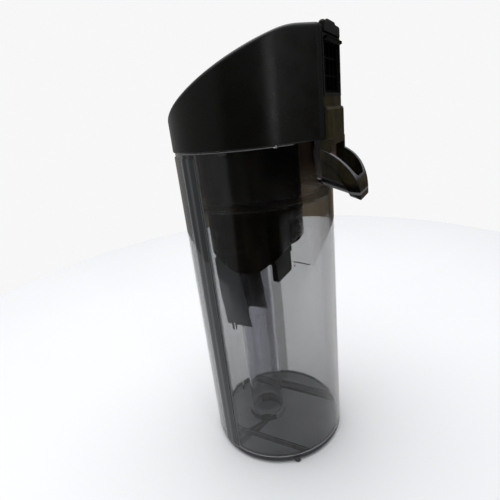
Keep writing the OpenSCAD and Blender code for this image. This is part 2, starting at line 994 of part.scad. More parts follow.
// Cartridge frame, with the lip that a finger pulls
module filter_frame() {
    w = bay_w - 0.35;
    low = bay_low;
    high = bay_high - 0.35;
    rear = duct_rear_y;
    front = rear - filter_depth;
    lip_y = rear_y + 0.7;
    color([0.04, 0.04, 0.04])
        union() {
            difference() {
                translate([-w, front, low])
                    cube([2 * w, filter_depth, high - low]);
                translate([-w + filter_wall, front - 1, low + filter_wall])
                    cube([
                        2 * (w - filter_wall),
                        filter_depth + 2,
                        high - low - 2 * filter_wall
                    ]);
            }
            for (z = [low + (high - low) / 3, low + 2 * (high - low) / 3])
                translate([-w + 1, rear - 1.2, z - 0.5])
                    cube([2 * w - 2, 1.2, 1]);
            for (x = [-w / 2, 0, w / 2])
                translate([x - 0.5, rear - 1.2, low + 1])
                    cube([1, 1.2, high - low - 2]);
            across(w)
                polygon([
                    [rear - 2, high - filter_wall],
                    [lip_y, high - filter_wall],
                    [lip_y + 1.8, high - filter_wall + 0.7],
                    [lip_y + 1.8, high + 0.6],
                    [lip_y, high + 0.6],
                    [lip_y, high],
                    [rear - 2, high]
                ]);
        }
}

module filter_foam() {
    w = bay_w - 0.35 - filter_wall - 0.1;
    low = bay_low + filter_wall + 0.1;
    high = bay_high - 0.35 - filter_wall - 0.1;
    color([0.15, 0.15, 0.16])
        translate([-w, duct_rear_y - filter_depth + 0.3, low])
            cube([2 * w, 3.5, high - low]);
}

// Pleated sheet: one zigzag outline
module filter_pleats() {
    w = bay_w - 0.35 - filter_wall - 0.2;
    low = bay_low + filter_wall + 0.1;
    high = bay_high - 0.35 - filter_wall - 0.1;
    front = duct_rear_y - filter_depth + 4.2;
    rear = duct_rear_y - 1.8 - pleat_t * 2;
    pitch = 2 * (w - pleat_t) / (2 * pleat_count);
    edge = [
        for (i = [0:2 * pleat_count])
            [-w + pleat_t + i * pitch, i % 2 == 0 ? front : rear]
    ];
    color([0.75, 0.74, 0.70])
        translate([0, 0, low])
            linear_extrude(high - low)
                polygon(concat(
                    [for (p = edge) p],
                    [for (i = [len(edge) - 1:-1:0]) edge[i] + [0, 2 * pleat_t]]
                ));
}

// Rubber ring that seals the cartridge in its bay
module filter_gasket() {
    w = bay_w - 0.35;
    low = bay_low;
    high = bay_high - 0.35;
    color([0.07, 0.07, 0.07])
        difference() {
            translate([-w, duct_rear_y - filter_depth - 0.9, low])
                cube([2 * w, 0.9, high - low]);
            translate([-w + filter_wall, duct_rear_y - filter_depth - 2, low + filter_wall])
                cube([2 * (w - filter_wall), 4, high - low - 2 * filter_wall]);
        }
}

tank_body();
riser_tube();
riser_o_ring();
inlet_seal();
lid_base();
lid_gasket();
outer_cover();
cover_screws();
separator_hood();
hood_screws();
splash_baffle();
float_guide();
float_shell();
float_cap();
float_pad();
valve_seat();
filter_screen();
port_seal();
filter_frame();
filter_foam();
filter_pleats();
filter_gasket();
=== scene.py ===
import json
import math

import bmesh
import bpy
from mathutils import Matrix, Vector


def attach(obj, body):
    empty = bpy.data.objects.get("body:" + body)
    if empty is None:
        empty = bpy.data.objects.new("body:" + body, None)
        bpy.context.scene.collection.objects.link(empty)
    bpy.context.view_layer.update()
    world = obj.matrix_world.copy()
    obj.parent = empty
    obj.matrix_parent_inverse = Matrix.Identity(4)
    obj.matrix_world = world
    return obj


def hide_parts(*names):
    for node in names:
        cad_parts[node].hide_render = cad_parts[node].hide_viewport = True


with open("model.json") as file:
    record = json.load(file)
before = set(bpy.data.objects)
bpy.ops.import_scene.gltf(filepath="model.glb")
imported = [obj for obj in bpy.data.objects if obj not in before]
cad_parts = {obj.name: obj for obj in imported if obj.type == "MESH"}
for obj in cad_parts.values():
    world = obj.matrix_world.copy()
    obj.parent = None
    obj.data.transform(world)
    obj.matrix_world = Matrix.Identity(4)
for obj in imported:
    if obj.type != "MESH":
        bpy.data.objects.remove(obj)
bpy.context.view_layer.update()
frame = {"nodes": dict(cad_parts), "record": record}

# Lengths and heights are in metres, in the part's own frame

# Camera at the photo's viewing angle
CAMERA_AT = Vector((0.2507, 0.1316, 0.2617))
CAMERA_RIGHT = Vector((-0.4622, 0.8803, -0.1073))
CAMERA_UP = Vector((-0.3381, -0.0630, 0.9390))
CAMERA_CLIP = 0.01
FOCAL_PX = 376.0
IMAGE_PX = 500.0
SENSOR_MM = 36.0

# Floor, pale to look at, and dim at its near end in what the tank mirrors
FLOOR_CENTRE = (-0.177, -0.093, -0.0002)
FLOOR_RADIUS = 0.52
FLOOR_CORNERS = 256
FLOOR_TONES = ((0.80, 0.80, 0.80), (0.816, 0.816, 0.816))
FLOOR_ROUGHNESS = 0.8
FADE_FROM = 0.33
FADE_TO = 0.50
FADE_SHADE = (0.10, 0.095, 0.085, 1.0)

# Backdrop for the camera, and the room that the tank mirrors, by direction
BACKDROP_TONE = (0.93, 0.93, 0.93, 1.0)
NEAR_ALONG = (0.885, 0.465)
NEAR_FROM = -0.88
NEAR_TO = -0.66
SIDE_ALONG = (0.342, -0.940)
SIDE_FROM = 0.47
SIDE_TO = 0.59
HIGH_FROM = 0.10
HIGH_TO = 0.75
ROOM_NEAR = (0.035, 0.032, 0.028, 1.0)
ROOM_FAR = (0.19, 0.155, 0.11, 1.0)
ROOM_SIDE = (0.31, 0.31, 0.31, 1.0)
ROOM_HIGH = (0.80, 0.82, 0.86, 1.0)

# Lights: name, place, target, width, height and power in watts
LIGHTS = (
    ("top_softbox", (-0.05, -0.15, 1.3), (0.0, 0.0, 0.1), 1.2, 1.2, 12.0),
    ("rear_strip", (0.50, 0.78, 0.49), (0.0, 0.0, 0.49), 0.06, 0.64, 0.8),
)

# Most bounces of a light path, enough for all the clear walls in a row
MOST_BOUNCES = 24

# Patterns: features per metre, detail, and scale along the height, where less draws them out
WALL_STREAKS = (30.0, 3.0, 0.04)
WALL_WAVES = (130.0, 2.0, 0.03)
SPOUT_CLOUD = (90.0, 3.0, 0.4)
TUBE_STREAKS = (28.0, 3.0, 0.05)
LID_STREAKS = (34.0, 3.0, 0.06)
LID_CLOUD = (48.0, 3.0, 0.12)
BLOCK_CLOUD = (110.0, 3.0, 0.3)
HOOD_CLOUD = (62.0, 3.0, 0.22)
HOOD_STREAKS = (160.0, 3.0, 0.2)
SATIN_CLOUD = (18.0, 4.0, 1.0)
PAPER_CLOUD = (4.0, 2.0, 1.0)
FILM = (60.0, 4.0, 0.3)
WEAR = (90.0, 4.0, 1.0)
GRAIN = (2600.0, 2.0, 1.0)
NOISE_LOW = 0.3
NOISE_HIGH = 0.7

# Tank wall
WALL_TONES = ((0.86, 0.86, 0.86), (0.99, 0.99, 0.99))
WALL_SMOKE = (0.02, 0.01, 0.0, 1.0)
WALL_DENSITY = 170.0
WALL_IOR = 1.40
WALL_SPECULAR = 0.15
WALL_ROUGHNESS = (0.0, 0.015)
WAVE_STRENGTH = 0.3
WAVE_DEPTH = 0.0004

# Grip panel, with painted shade in dark bands where its edges are seen edge-on and a painted
# highlight line among them: angle from the side towards the rear in degrees, tone and closed
# share
PANEL_SHADE_STOPS = (
    (-75.0, 1.00, 0.0), (-50.0, 0.90, 0.0), (-31.0, 0.90, 0.0), (-29.5, 0.40, 0.5),
    (-28.0, 0.045, 0.95), (-24.0, 0.045, 0.95), (-22.5, 0.09, 0.95), (-21.0, 0.13, 0.95),
    (-20.0, 0.08, 0.95), (-19.0, 0.05, 0.95), (-14.5, 0.045, 0.95), (-13.5, 0.30, 0.5),
    (-12.5, 0.80, 0.0), (-11.5, 1.00, 0.0),
)
PANEL_SHADE_TONE = (0.96, 0.98, 1.0)
PANEL_NONE = (1.0, 1.0, 1.0, 0.0)
# Share of the panel's painted shade kept on the far side of the tank
PANEL_SHADE_FAR = 0.2

# Painted shade on the neck at the rear of the wall, darker upwards towards the cover
NECK_LOW = 0.2150
NECK_HIGH = 0.2370
NECK_FROM = 0.026
NECK_TO = 0.036
NECK_SHADE = (0.22, 0.18, 0.19, 1.0)

# Spout, with a grey rim painted as a highlight on its upward faces outside of a circle in Y and
# Z
SPOUT_FROM = 0.0565
SPOUT_TONES = ((0.006, 0.006, 0.006), (0.050, 0.042, 0.020))
SPOUT_CLOSED = 0.75
SPOUT_RIM_HIGHLIGHT = (0.22, 0.22, 0.25, 1.0)
MOUTH_CENTRE = (0.0460, 0.2077)
MOUTH_RADIUS = 0.0318
UPWARD_FROM = 0.30
UPWARD_TO = 0.45

# Painted lines along the spout's sloping underside, a highlight line between dark lines: height
# over it, tone and closed share
SPOUT_PAINTED_LINES = (
    (0.0000, 0.020, 1.0), (0.0016, 0.020, 1.0), (0.0022, 0.240, 1.0), (0.0032, 0.240, 1.0),
    (0.0038, 0.004, 1.0), (0.0062, 0.004, 1.0), (0.0090, 0.004, 0.0), (0.0120, 0.004, 0.0),
)
LINES_SPAN = 0.0120
UNDERSIDE_FROM = 0.0560
UNDERSIDE_HEIGHT = 0.2155
UNDERSIDE_FALL = 0.36

# Full-level mark, and a painted highlight along the upper rim
# Ink of the full-level mark, also used as painted shade on the ledges' upright faces
INK_AND_SHADE = (0.02, 0.02, 0.02, 1.0)
MARK_RADIUS = 0.05565
MARK_HEIGHT = 0.1300
MARK_REACH = 0.005
RIM_HEIGHT = 0.2445
RIM_END = 0.045
# Painted highlight on the upper rim: its tone and closed share
RIM_HIGHLIGHT = (0.45, 0.45, 0.45, 1.0)
RIM_HIGHLIGHT_CLOSED = 0.7

# Hazy floor with its two ledges, and the foot below it, with painted shade beside the ledges
# and on their upright faces, painted highlight lines along the ledges and along the top of the
# foot band, and a dark band round the foot
HAZE_HEIGHT = 0.0094
HAZE_RADIUS = 0.0518
HAZE_CLOSED = 0.42
LEDGE_X = 0.0337
LEDGE_LINE = 0.0004
LEDGE_BAND = 0.0082
LEDGE_FACING = 0.6
LEDGE_SHADE = (0.04, 0.04, 0.044, 1.0)
LEDGE_SHARE = 0.55
FOOT_HEIGHT = 0.0070
FOOT_LINE = 0.0004
FOOT_RADIUS = 0.052
FOOT_TONE = (0.05, 0.05, 0.055, 1.0)
PALE_HIGHLIGHT = (0.45, 0.45, 0.46, 1.0)
LEDGE_CLOSED = 0.8

# Riser tube, with painted light at its foot as a paler tint, and the clear gasket round the
# lid's plug
TUBE_TONES = ((0.62, 0.62, 0.66), (0.72, 0.72, 0.76))
TUBE_ROUGHNESS = 0.01
TUBE_IOR = 1.45
TUBE_FOOT = 0.012
TUBE_FOOT_EASE = 0.003
TUBE_FOOT_LIGHT = (0.96, 0.96, 0.96, 1.0)
GASKET_TONES = ((0.76, 0.75, 0.74), (0.84, 0.83, 0.82))
GASKET_ROUGHNESS = 0.30
GASKET_IOR = 1.05
FILM_ROUGHNESS = 0.03

# Lid moulding, smoky grey in front, and its rear block painted olive brown, the look of the
# smoky plastic lit from behind
LID_TONES = ((0.50, 0.48, 0.46), (0.72, 0.70, 0.68))
LID_HAZE = 0.12
LID_IOR = 1.25
LID_ROUGHNESS = (0.03, 0.07)
BLOCK_FROM = 0.0535
BLOCK_TO = 0.0565
BLOCK_BACKLIT_TONES = ((0.012, 0.010, 0.004), (0.064, 0.055, 0.018))
BLOCK_CLOSED = 0.7

# Separator hood, which thins out to grey at its low rear corner
HOOD_DARK = ((0.0006, 0.0005, 0.0004), (0.044, 0.032, 0.022))
HOOD_GREY = ((0.30, 0.30, 0.30), (0.75, 0.75, 0.74))
HOOD_REAR_FROM = 0.024
HOOD_REAR_TO = 0.031
HOOD_LOW_FROM = 0.200
HOOD_LOW_TO = 0.188
HOOD_CLEAR = 0.9
HOOD_IOR = 1.15
HOOD_ROUGHNESS = (0.21, 0.30)

# Opaque materials: name, dark and light tone, roughness, grain, gloss and share of metal
SATIN_LOOKS = (
    ("float_grey", (0.115, 0.119, 0.124), (0.155, 0.161, 0.167), 0.20, 0.0, 0.30, 0.0),
    ("inner_black", (0.0010, 0.0010, 0.0010), (0.0020, 0.0020, 0.0020), 0.4, 0.0, 0.12, 0.0),
    ("seal_rubber", (0.0040, 0.0040, 0.0040), (0.0070, 0.0070, 0.0070), 0.6, 0.0, 0.25, 0.0),
    ("filter_black", (0.0006, 0.0006, 0.0006), (0.0012, 0.0012, 0.0012), 0.6, 0.0, 0.04, 0.0),
    ("filter_foam", (0.0030, 0.0030, 0.0032), (0.0080, 0.0080, 0.0085), 0.9, 1.0, 0.10, 0.0),
    ("filter_paper", (0.0030, 0.0030, 0.0028), (0.0060, 0.0058, 0.0055), 0.8, 0.3, 0.10, 0.0),
    ("screw_steel", (0.35, 0.35, 0.36), (0.50, 0.50, 0.52), 0.3, 0.0, 0.50, 1.0),
)
COVER_LOOK = ((0.0045, 0.0044, 0.0036), (0.0062, 0.0060, 0.0050), 0.28, 0.10, 0.22, 0.0)
WEAR_UNDER = 0.04
WEAR_OVER = 0.05
GRAIN_DEPTH = 0.0002

# Duller parts of the cover: its flat rear, and the upright wall of its far rear
DULL_ROUGHNESS = 0.5
REAR_DULL_FROM = 0.0580
REAR_DULL_TO = 0.0592
FAR_DULL_FROM = 0.030
FAR_DULL_TO = 0.042
TILT_FROM = 0.5
TILT_TO = 0.1

# Cover, with the part's own main sizes
COVER_RADIUS = 0.0572
COVER_LOW = 0.2454
COVER_FRONT = 0.2625
COVER_TOP = 0.3087
COVER_WALL = 0.002
BREAK_Y = 0.045
BREAK_ROUND = 0.005
REAR_Y = 0.060
REAR_HALF = 0.0206
OPENING_HALF = 0.0187
OPENING_TOP = 0.3037
LIP_EASE = 0.0005
EDGE_ROUND = 0.003
EDGE_STEPS = 8
CORNER_ROUND = 0.0032
CORNER_STEPS = 12
SIDE_STEPS = 96
FLANK_STEPS = 24
SHARP_ANGLE = 0.6

# Catch on the cover's top rear edge, with the share of its rise at places across
CATCH_RISE = 0.0031
CATCH_ROUND = 0.0017
CATCH_OUT = 0.0012
CATCH_SINK = 0.001
CATCH_LOW = OPENING_TOP + 0.0006
CATCH_STEPS = 12
CATCH_STATIONS = (
    (-0.0160, 0.15), (-0.0150, 0.50), (-0.0066, 0.58), (-0.0058, 1.0),
    (0.0058, 1.0), (0.0066, 0.58), (0.0150, 0.50), (0.0160, 0.15),
)

# Splash baffle
BAFFLE_HALF = 0.014
BAFFLE_NEAR = 0.013
BAFFLE_FAR = 0.0175
BAFFLE_LOW = 0.142
BAFFLE_TOP = 0.245
BAFFLE_EASE = 0.0004
EASE_STEPS = 2
TAB_ROUND = 0.0030
TAB_STEPS = 10
WING_LOW = 0.1575
WING_NEAR = -0.004
WING_THICK = 0.0024


def make_camera():
    """Camera with the pinhole that the photo's proportions give."""
    right = CAMERA_RIGHT.normalized()
    back = right.cross(CAMERA_UP).normalized()
    up = back.cross(right).normalized()
    data = bpy.data.cameras.new("camera")
    data.sensor_width = SENSOR_MM
    data.lens = SENSOR_MM * FOCAL_PX / IMAGE_PX
    data.clip_start = CAMERA_CLIP
    camera = bpy.data.objects.new("camera", data)
    turn = Matrix((right, up, back)).transposed()
    camera.matrix_world = Matrix.Translation(CAMERA_AT) @ turn.to_4x4()
    bpy.context.scene.collection.objects.link(camera)
    bpy.context.scene.camera = camera


def make_piece(name, work, material):
    """Object from a finished mesh, smooth with sharp edges kept sharp."""
    bmesh.ops.recalc_face_normals(work, faces=work.faces)
    for face in work.faces:
        face.smooth = True
    for edge in work.edges:
        if len(edge.link_faces) == 2 and edge.calc_face_angle() > SHARP_ANGLE:
            edge.smooth = False
    mesh = bpy.data.meshes.new(name)
    work.to_mesh(mesh)
    work.free()
    mesh.materials.append(material)
    piece = bpy.data.objects.new(name, mesh)
    bpy.context.scene.collection.objects.link(piece)
    return piece


def cover_height(y):
    """Height of the sloping top, with a soft break before the flat part."""
    rise = (COVER_TOP - COVER_FRONT) / (BREAK_Y + COVER_RADIUS)
    before = BREAK_Y + BREAK_ROUND - y
    if before <= 0:
        return COVER_TOP
    if before >= 2 * BREAK_ROUND:
        return COVER_TOP - rise * (BREAK_Y - y)
    return COVER_TOP - rise * before * before / (4 * BREAK_ROUND)


def cover_arc(centre, radius, start, end, steps):
    """Outline items of one arc: its centre, its normal and its radius."""
    items = []
    for i in range(steps + 1):
        angle = start + (end - start) * i / steps
        items.append((centre, Vector((math.cos(angle), math.sin(angle))), radius))
    return items


def cover_half():
    """Right half of the cover's outline, from the middle of the front to the rear opening."""
    corner = math.atan2(REAR_Y, REAR_HALF)
    side = corner - math.acos(COVER_RADIUS / math.hypot(REAR_HALF, REAR_Y))
    centre = Vector((0.0, REAR_Y - CORNER_ROUND))
    centre.x = (COVER_RADIUS - CORNER_ROUND - centre.y * math.sin(side)) / math.cos(side)
    items = cover_arc(Vector((0.0, 0.0)), COVER_RADIUS, -math.pi / 2, side, SIDE_STEPS)
    middle, normal, radius = items[-1]
    for i in range(1, FLANK_STEPS):
        share = i / FLANK_STEPS
        place = middle.lerp(centre, share)
        items.append((place, normal, radius + (CORNER_ROUND - radius) * share))
    items += cover_arc(centre, CORNER_ROUND, side, math.pi / 2, CORNER_STEPS)
    rear = Vector((0.0, 1.0))
    items.append((Vector((OPENING_HALF, centre.y)), rear, CORNER_ROUND))
    return items


def cover_column(item, side):
    """Points of one column, from the low edge over the rounded upper edge."""
    centre, normal, radius = item
    points = []
    for inset, height in ((LIP_EASE, COVER_LOW), (0.0, COVER_LOW + LIP_EASE)):
        flat = centre + normal * (radius - inset)
        points.append((side * flat.x, flat.y, height))
    for i in range(EDGE_STEPS + 1):
        angle = 0.5 * math.pi * i / EDGE_STEPS
        flat = centre + normal * (radius - EDGE_ROUND * (1 - math.cos(angle)))
        height = cover_height(flat.y) - EDGE_ROUND * (1 - math.sin(angle))
        points.append((side * flat.x, flat.y, height))
    return points


def add_tube(work, rings):
    """Closed form through rings that have as many points each."""
    count = len(rings[0])
    for near, far in zip(rings, rings[1:]):
        for i in range(count):
            j = (i + 1) % count
            work.faces.new((near[i], near[j], far[j], far[i]))
    work.faces.new(rings[0])
    work.faces.new(rings[-1])


def add_catch(work):
    """Catch on the top rear edge: one rounded profile, higher in the middle."""
    middle_y = REAR_Y + CATCH_OUT - CATCH_ROUND
    middle_z = COVER_TOP + CATCH_RISE - CATCH_ROUND
    profile = [(REAR_Y + CATCH_OUT, CATCH_LOW)]
    for i in range(CATCH_STEPS + 1):
        angle = math.pi * i / CATCH_STEPS
        profile.append((
            middle_y + CATCH_ROUND * math.cos(angle),
            middle_z + CATCH_ROUND * math.sin(angle),
        ))
    profile.append((middle_y - CATCH_ROUND, COVER_TOP - CATCH_SINK))
    profile.append((REAR_Y - CATCH_SINK, CATCH_LOW))
    rings = []
    for x, share in CATCH_STATIONS:
        ring = []
        for y, z in profile:
            raised = max(z - COVER_TOP, 0.0)
            ring.append(work.verts.new((x, y, z - raised * (1.0 - share))))
        rings.append(ring)
    add_tube(work, rings)


def make_cover(material):
    """Cover shell: side wall, rounded upper edge and sloping top, open below and behind."""
    work = bmesh.new()
    half = cover_half()
    right = [[work.verts.new(point) for point in cover_column(item, 1)] for item in half]
    left = [right[0]]
    left += [[work.verts.new(point) for point in cover_column(item, -1)] for item in half[1:]]
    for columns in (right, left):
        for near, far in zip(columns, columns[1:]):
            for row in range(len(near) - 1):
                work.faces.new((near[row], far[row], far[row + 1], near[row + 1]))
    work.faces.new((right[0][-1], right[1][-1], left[1][-1]))
    for i in range(1, len(half) - 1):
        work.faces.new((right[i][-1], right[i + 1][-1], left[i + 1][-1], left[i][-1]))
    lintel = [work.verts.new((side * OPENING_HALF, REAR_Y, OPENING_TOP)) for side in (1, -1)]
    edge_rows = list(zip(right[-1], left[-1]))[-EDGE_STEPS - 1:]
    above = [lintel, *edge_rows]
    for lower, upper in zip(above, above[1:]):
        work.faces.new((lower[0], upper[0], upper[1], lower[1]))
    bmesh.ops.recalc_face_normals(work, faces=work.faces)
    bmesh.ops.solidify(work, geom=list(work.faces), thickness=COVER_WALL)
    add_catch(work)
    cover = make_piece("cover_shell", work, material)
    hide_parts("outer_cover")
    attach(cover, "lid")


def add_prism(work, outline, near, far):
    """Closed prism of an outline in X and Z, from y = near to y = far."""
    rings = [[work.verts.new((x, y, z)) for x, z in outline] for y in (near, far)]
    add_tube(work, rings)


def make_baffle(material):
    """Black wall behind the riser's mouth: a plate with a rounded lower tab and two wings."""
    work = bmesh.new()
    outline = [(-BAFFLE_HALF, BAFFLE_TOP), (BAFFLE_HALF, BAFFLE_TOP)]
    for side, start in ((1, 0.0), (-1, -0.5 * math.pi)):
        for i in range(TAB_STEPS + 1):
            angle = start - 0.5 * math.pi * i / TAB_STEPS
            outline.append((
                side * (BAFFLE_HALF - TAB_ROUND) + TAB_ROUND * math.cos(angle),
                BAFFLE_LOW + TAB_ROUND + TAB_ROUND * math.sin(angle),
            ))
    add_prism(work, outline, BAFFLE_NEAR, BAFFLE_FAR)
    for side in (1, -1):
        inner = side * BAFFLE_HALF
        outer = side * (BAFFLE_HALF + WING_THICK)
        wing = ((inner, WING_LOW), (outer, WING_LOW), (outer, BAFFLE_TOP), (inner, BAFFLE_TOP))
        add_prism(work, wing, WING_NEAR, BAFFLE_FAR)
    bmesh.ops.recalc_face_normals(work, faces=work.faces)
    sharp = [edge for edge in work.edges if edge.calc_face_angle() > SHARP_ANGLE]
    bmesh.ops.bevel(
        work,
        geom=sharp,
        offset=BAFFLE_EASE,
        offset_type="OFFSET",
        segments=EASE_STEPS,
        affect="EDGES",
    )
    baffle = make_piece("baffle_wall", work, material)
    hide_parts("splash_baffle")
    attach(baffle, "lid")


class Nodes:
    """A small helper that adds shader nodes to one tree and joins them."""

    def __init__(self, tree):
        self.tree = tree

    def plug(self, socket, value):
        """Link an output to a socket, or set the socket's own value."""
        if isinstance(value, bpy.types.NodeSocket):
            self.tree.links.new(value, socket)
        else:
            socket.default_value = value

    def fill(self, node, inputs):
        """Plug values into a node's inputs by their names."""
        for name, value in inputs.items():
            self.plug(node.inputs[name], value)

    def add(self, kind, inputs=None, **settings):
        """New node with its settings and inputs."""
        node = self.tree.nodes.new(kind)
        for name, value in settings.items():
            setattr(node, name, value)
        self.fill(node, inputs or {})
        return node

    def math(self, operation, *values):
        """Result of one operation on its values in order."""
        node = self.add("ShaderNodeMath", operation=operation)
        for socket, value in zip(node.inputs, values):
            self.plug(socket, value)
        return node.outputs["Value"]

    def product(self, first, *others):
        """Product of all values."""
        for value in others:
            first = self.math("MULTIPLY", first, value)
        return first

    def greatest(self, first, *others):
        """Greatest of all values."""
        for value in others:
            first = self.math("MAXIMUM", first, value)
        return first

    def remainder(self, share):
        """What the share leaves of 1."""
        return self.math("SUBTRACT", 1.0, share)

    def length(self, along, across):
        """Length of a line that goes this far along and across."""
        squares = self.math("MULTIPLY_ADD", along, along, self.math("MULTIPLY", across, across))
        return self.math("SQRT", squares)

    def mix(self, factor, first, second, blend_type="MIX"):
        """First colour with the second one laid over it by a factor."""
        node = self.add("ShaderNodeMixRGB", blend_type=blend_type)
        for socket, value in zip(node.inputs, (factor, first, second)):
            self.plug(socket, value)
        return node.outputs["Color"]

    def split(self, vector):
        """X, Y and Z of a vector."""
        axes = self.add("ShaderNodeSeparateXYZ", {"Vector": vector}).outputs
        return axes["X"], axes["Y"], axes["Z"]

    def place(self):
        """X, Y and Z of a point in the object's own coordinates."""
        return self.split(self.add("ShaderNodeTexCoord").outputs["Object"])

    def facing(self):
        """X, Y and Z of the direction that the surface faces."""
        return self.split(self.add("ShaderNodeNewGeometry").outputs["Normal"])

    def noise(self, pattern):
        """Noise of one pattern in the object's own coordinates."""
        scale, detail, upright = pattern
        place = self.add("ShaderNodeTexCoord")
        mapping = self.add(
            "ShaderNodeMapping",
            {"Vector": place.outputs["Object"], "Scale": (1.0, 1.0, upright)},
        )
        texture = self.add(
            "ShaderNodeTexNoise",
            {"Vector": mapping.outputs["Vector"], "Scale": scale, "Detail": detail},
        )
        return texture.outputs["Fac"]

    def remap(self, value, start, end, low=0.0, high=1.0, course="LINEAR"):
        """Value from start to end turned into one from low to high."""
        node = self.add(
            "ShaderNodeMapRange",
            {"Value": value, "From Min": start, "From Max": end, "To Min": low, "To Max": high},
            interpolation_type=course,
        )
        return node.outputs["Result"]

    def step(self, value, start, end):
        """0 up to the start and 1 from the end on, with a soft step between."""
        return self.remap(value, start, end, course="SMOOTHSTEP")

    def spread(self, pattern, low, high):
        """Value from low to high that follows a pattern."""
        return self.remap(self.noise(pattern), NOISE_LOW, NOISE_HIGH, low, high)

    def towards(self, x, y, direction, start, end):
        """Soft step along a level direction."""
        across = self.math("MULTIPLY", x, direction[0])
        return self.step(self.math("MULTIPLY_ADD", y, direction[1], across), start, end)

    def ramp(self, value, stops):
        """Colour and alpha by a value, through two or more stops in order."""
        node = self.add("ShaderNodeValToRGB", {"Fac": value})
        elements = node.color_ramp.elements
        for element, (position, colour) in zip(elements, (stops[0], stops[-1])):
            element.position = position
            element.color = colour
        for position, colour in stops[1:-1]:
            elements.new(position).color = colour
        return node.outputs["Color"], node.outputs["Alpha"]

    def tones(self, pattern, dark, light):
        """Colour from dark to light that follows a pattern."""
        stops = ((NOISE_LOW, (*dark, 1.0)), (NOISE_HIGH, (*light, 1.0)))
        return self.ramp(self.noise(pattern), stops)[0]

    def bump(self, pattern, strength, depth):
        """Surface direction over the small heights of a pattern."""
        height = self.noise(pattern)
        node = self.add(
            "ShaderNodeBump", {"Height": height, "Strength": strength, "Distance": depth}
        )
        return node.outputs["Normal"]


def start_material(name):
    """New material with a helper for its nodes and with its shader."""
    material = bpy.data.materials.new(name)
    material.use_nodes = True
    tree = material.node_tree
    return material, Nodes(tree), tree.nodes["Principled BSDF"]


def clear_plastic(name, tones, roughness, ior, foot=0.0):
    """See-through plastic with faint streaks along its height, and painted light below its
    foot: a paler tint there.
    """
    material, nodes, shader = start_material(name)
    _, _, z = nodes.place()
    # Painted light: the tint turns paler below the foot
    low = nodes.step(z, foot + TUBE_FOOT_EASE, foot)
    nodes.fill(shader, {
        "Base Color": nodes.mix(low, nodes.tones(TUBE_STREAKS, *tones), TUBE_FOOT_LIGHT),
        "Transmission Weight": 1.0,
        "IOR": ior,
        "Roughness": nodes.spread(FILM, roughness, roughness + FILM_ROUGHNESS),
    })
    return material


def painted_grip_panel(nodes, x, y):
    """Painted shade and a painted highlight line at the grip panel's edges, with their closed
    share, by the angle round the tank.
    """
    angle = nodes.math("ARCTAN2", y, nodes.math("ABSOLUTE", x))
    around = nodes.math("MULTIPLY_ADD", angle, 1.0 / math.pi, 0.5)
    stops = [(0.0, PANEL_NONE)]
    for degrees, tone, closed in PANEL_SHADE_STOPS:
        colour = (*(tone * shade for shade in PANEL_SHADE_TONE), closed)
        stops.append(((degrees + 90.0) / 180.0, colour))
    stops.append((1.0, PANEL_NONE))
    return nodes.ramp(around, stops)


def painted_spout_tone(nodes, y, z, upward):
    """Cloudy spout with a painted highlight line between dark lines along its underside, and a
    grey rim painted as a highlight on its upward faces.
    """
    run = nodes.math("SUBTRACT", y, UNDERSIDE_FROM)
    rise = nodes.math("SUBTRACT", z, UNDERSIDE_HEIGHT)
    lift = nodes.math("MULTIPLY_ADD", run, UNDERSIDE_FALL, rise)
    # Painted highlight line between dark lines along the underside
    stops = []
    for height, tone, closed in SPOUT_PAINTED_LINES:
        stops.append((height / LINES_SPAN, (tone, tone, tone, closed)))
    painted_lines, closed = nodes.ramp(nodes.math("MULTIPLY", lift, 1.0 / LINES_SPAN), stops)
    lined = nodes.product(closed, nodes.remainder(upward))
    tone = nodes.mix(lined, nodes.tones(SPOUT_CLOUD, *SPOUT_TONES), painted_lines)
    # Grey rim painted as a highlight on upward faces outside the mouth circle
    along = nodes.math("SUBTRACT", y, MOUTH_CENTRE[0])
    above = nodes.math("SUBTRACT", z, MOUTH_CENTRE[1])
    outside = nodes.math("GREATER_THAN", nodes.length(along, above), MOUTH_RADIUS)
    return nodes.mix(nodes.product(outside, upward), tone, SPOUT_RIM_HIGHLIGHT)


def level_mark(nodes, x, y, z, radius):
    """1 on the raised full-level mark, on the far rear of the wall."""
    return nodes.product(
        nodes.math("GREATER_THAN", radius, MARK_RADIUS),
        nodes.math("COMPARE", z, MARK_HEIGHT, MARK_REACH),
        nodes.math("LESS_THAN", x, 0.0),
        nodes.math("GREATER_THAN", y, 0.0),
    )


def floor_painted_layers(nodes, side, z, radius, floor):
    """Painted layers of the ledges and the foot: painted shade beside the ledges and on their
    upright faces, a dark band round the foot, and painted highlight lines; where they lie,
    their tone and their closed share.
    """
    facing_side = nodes.math("ABSOLUTE", nodes.facing()[0])
    # Painted shade on the ledges' upright faces
    upright = nodes.product(floor, nodes.math("GREATER_THAN", facing_side, LEDGE_FACING))
    beside = nodes.product(floor, nodes.math("COMPARE", side, LEDGE_X, LEDGE_BAND / 2))
    # Painted highlight lines along the ledges and along the top of the foot band
    ledge_highlight = nodes.product(floor, nodes.math("COMPARE", side, LEDGE_X, LEDGE_LINE))
    outer = nodes.math("GREATER_THAN", radius, FOOT_RADIUS)
    below = nodes.product(outer, nodes.math("LESS_THAN", z, FOOT_HEIGHT))
    foot_highlight = nodes.product(outer, nodes.math("COMPARE", z, FOOT_HEIGHT, FOOT_LINE))
    highlight_line = nodes.product(nodes.greatest(ledge_highlight, foot_highlight), LEDGE_CLOSED)
    return (
        (beside, LEDGE_SHADE, LEDGE_SHARE),
        (below, FOOT_TONE, LEDGE_CLOSED),
        (upright, INK_AND_SHADE, LEDGE_CLOSED),
        (highlight_line, PALE_HIGHLIGHT, 1.0),
    )


